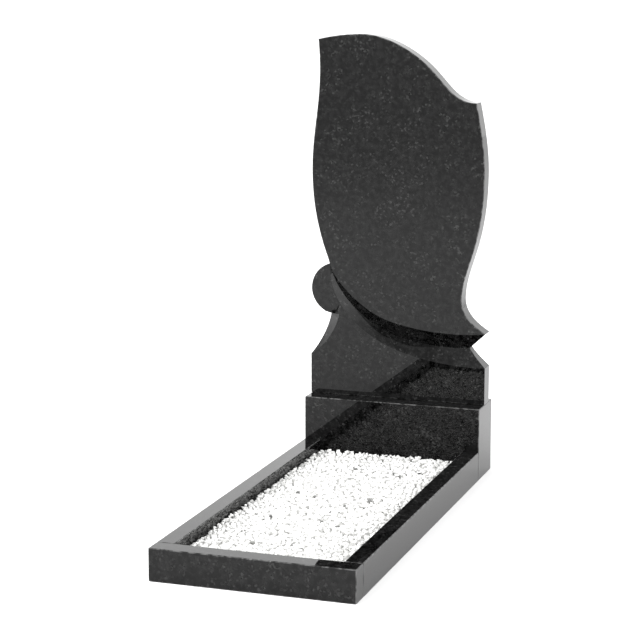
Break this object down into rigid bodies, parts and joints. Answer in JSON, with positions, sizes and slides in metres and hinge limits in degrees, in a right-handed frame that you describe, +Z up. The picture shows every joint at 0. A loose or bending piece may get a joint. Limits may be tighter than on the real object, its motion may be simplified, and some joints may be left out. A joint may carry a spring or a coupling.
{
  "type": "headstone",
  "caption": "Carved wave-shaped headstone slab with a scroll and groove, on a plinth, with a kerbed grave bed of white marble chips in front.",
  "frame": {"origin": "on the ground, in the middle of the set's footprint", "axes": "+X to the right as one faces the carved side, +Y from the foot of the bed to the back of the plinth, +Z up"},
  "size_m": [0.5, 1.22, 1.2],
  "materials": {
    "polished_granite": "polished near-black granite with fine grey speckle, eased edges",
    "marble_chips": "loose crushed white marble, 8 to 16 mm, unpolished"
  },
  "bodies": {
    "root": {"slab": "polished_granite", "plinth": "polished_granite", "front_kerb": "polished_granite", "left_kerb": "polished_granite", "right_kerb": "polished_granite", "gravel": "marble_chips"}
  },
  "joints": []
}
